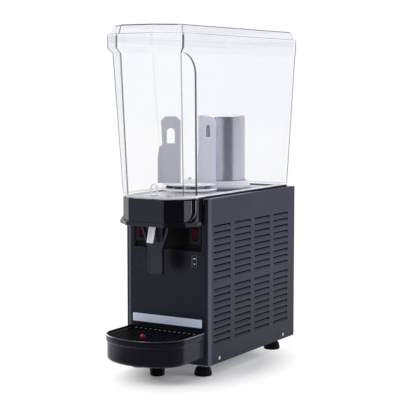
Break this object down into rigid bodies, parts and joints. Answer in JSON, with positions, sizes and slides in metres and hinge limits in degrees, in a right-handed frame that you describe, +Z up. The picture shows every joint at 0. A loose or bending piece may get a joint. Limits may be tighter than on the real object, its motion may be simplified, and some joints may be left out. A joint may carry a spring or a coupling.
{
  "type": "cold drink dispenser",
  "caption": "Upright cold drink dispenser: louvred dark cabinet, clear faceted bowl with lid, steel cooling cylinder and stirrer, push-lever tap, rockers and round-fronted drip tray.",
  "frame": {"origin": "middle of the overall plan, on the floor plane under the feet", "axes": "+X to the right as seen from the front, +Y to the back, +Z up; the tap and drip tray face -Y"},
  "size_m": [0.195, 0.5274, 0.6899],
  "materials": {
    "charcoal_paint": "fine satin powder coat",
    "panel_black": "smooth glossy moulding",
    "gloss_black": "polished black moulding",
    "satin_black": "satin black moulding",
    "label_grey": "pale blue-grey strip, left bare",
    "clear_shell": "clear polycarbonate",
    "stainless": "brushed stainless sheet",
    "white_plastic": "white food-grade moulding",
    "pale_deck": "pale insulated deck",
    "red_plastic": "glossy red moulding",
    "black_rubber": "soft black rubber",
    "white_rubber": "white silicone",
    "zinc_sheet": "zinc-coated sheet",
    "silver_metal": "bright plated steel",
    "copper_tube": "bare copper tube",
    "motor_grey": "grey enamel",
    "magnet_dark": "dark ferrite"
  },
  "bodies": {
    "body": {"base_pan": "zinc_sheet", "side_panel_right": "charcoal_paint", "side_panel_left": "charcoal_paint", "rear_panel": "charcoal_paint", "front_panel": "panel_black", "label_strip": "label_grey", "deck": "pale_deck", "bowl_gasket": "black_rubber", "collar": "gloss_black", "hood_plate": "gloss_black", "control_plate": "satin_black", "switch_frames": "satin_black", "cool_frame": "white_plastic", "evaporator": "stainless", "evaporator_coil": "copper_tube", "motor_bracket": "zinc_sheet", "stirrer_motor": "motor_grey", "compressor": "motor_grey", "compressor_mounts": "black_rubber", "condenser": "silver_metal", "fan_shroud": "zinc_sheet", "fan_motor": "motor_grey", "suction_pipe": "copper_tube", "liquid_pipe": "copper_tube", "discharge_pipe": "copper_tube", "thermostat": "motor_grey", "cord_gland": "satin_black", "terminal_block": "white_plastic", "feet": "black_rubber", "foot_screws": "silver_metal", "panel_screws": "silver_metal", "tap_body": "satin_black", "tap_nozzle": "white_plastic", "lever_spring": "silver_metal", "tray_pegs": "silver_metal"},
    "bowl": {"bowl": "clear_shell", "evaporator_seal": "white_rubber", "stirrer_post": "stainless"},
    "lid": {"lid": "clear_shell"},
    "plug": {"outlet_plug": "white_plastic"},
    "stirrer": {"stirrer_blades": "stainless", "stirrer_rotor": "white_plastic", "stirrer_magnets": "magnet_dark"},
    "drive": {"drive_magnet": "magnet_dark"},
    "fan": {"fan_blades": "satin_black"},
    "lever": {"tap_lever": "gloss_black", "tap_barrel": "white_plastic", "barrel_seals": "black_rubber"},
    "rocker_l": {"rocker_left": "red_plastic"},
    "rocker_r": {"rocker_right": "red_plastic"},
    "cool_key": {"cool_rocker": "satin_black"},
    "knob": {"thermostat_knob": "satin_black"},
    "tray": {"drip_tray": "gloss_black"},
    "grille": {"tray_grille": "satin_black"},
    "float": {"tray_float": "red_plastic"}
  },
  "joints": [
    {"name": "bowl_lift", "type": "slide", "parent": "body", "child": "bowl", "axis": [0, 0, 1], "range_m": [0, 0.18]},
    {"name": "lid_lift", "type": "slide", "parent": "bowl", "child": "lid", "axis": [0, 0, 1], "range_m": [0, 0.12]},
    {"name": "plug_lift", "type": "slide", "parent": "bowl", "child": "plug", "axis": [0, 0, 1], "range_m": [0, 0.06]},
    {"name": "stirrer_spin", "type": "hinge", "parent": "bowl", "child": "stirrer", "pos_m": [0, -0.04275, 0.37], "axis": [0, 0, 1], "continuous": true},
    {"name": "drive_spin", "type": "hinge", "parent": "body", "child": "drive", "pos_m": [0, -0.04275, 0.335], "axis": [0, 0, 1], "continuous": true},
    {"name": "fan_spin", "type": "hinge", "parent": "body", "child": "fan", "pos_m": [0, -0.04475, 0.117], "axis": [0, 1, 0], "continuous": true},
    {"name": "lever_pull", "type": "hinge", "parent": "body", "child": "lever", "pos_m": [0, -0.17475, 0.32], "axis": [1, 0, 0], "range_deg": [0, 15], "stiffness_Nm_per_rad": 0.5, "springref_deg": -17.19},
    {"name": "rocker_left_tip", "type": "hinge", "parent": "body", "child": "rocker_l", "pos_m": [-0.063, -0.12275, 0.282], "axis": [-1, 0, 0], "range_deg": [0, 9]},
    {"name": "rocker_right_tip", "type": "hinge", "parent": "body", "child": "rocker_r", "pos_m": [0.063, -0.12275, 0.282], "axis": [-1, 0, 0], "range_deg": [0, 9]},
    {"name": "cool_tip", "type": "hinge", "parent": "body", "child": "cool_key", "pos_m": [0.065, -0.12375, 0.229], "axis": [-1, 0, 0], "range_deg": [0, 9]},
    {"name": "knob_turn", "type": "hinge", "parent": "body", "child": "knob", "pos_m": [0.058, 0.24925, 0.293], "axis": [0, 1, 0], "range_deg": [-135, 135]},
    {"name": "tray_pull", "type": "slide", "parent": "body", "child": "tray", "axis": [0, -1, 0], "range_m": [0, 0.16]},
    {"name": "grille_lift", "type": "slide", "parent": "tray", "child": "grille", "axis": [0, 0, 1], "range_m": [0, 0.08]},
    {"name": "float_rise", "type": "slide", "parent": "tray", "child": "float", "axis": [0, 0, 1], "range_m": [0, 0.02]}
  ],
  "couplings": [
    {"joint": "stirrer_spin", "follows": "drive_spin", "ratio": 1}
  ]
}
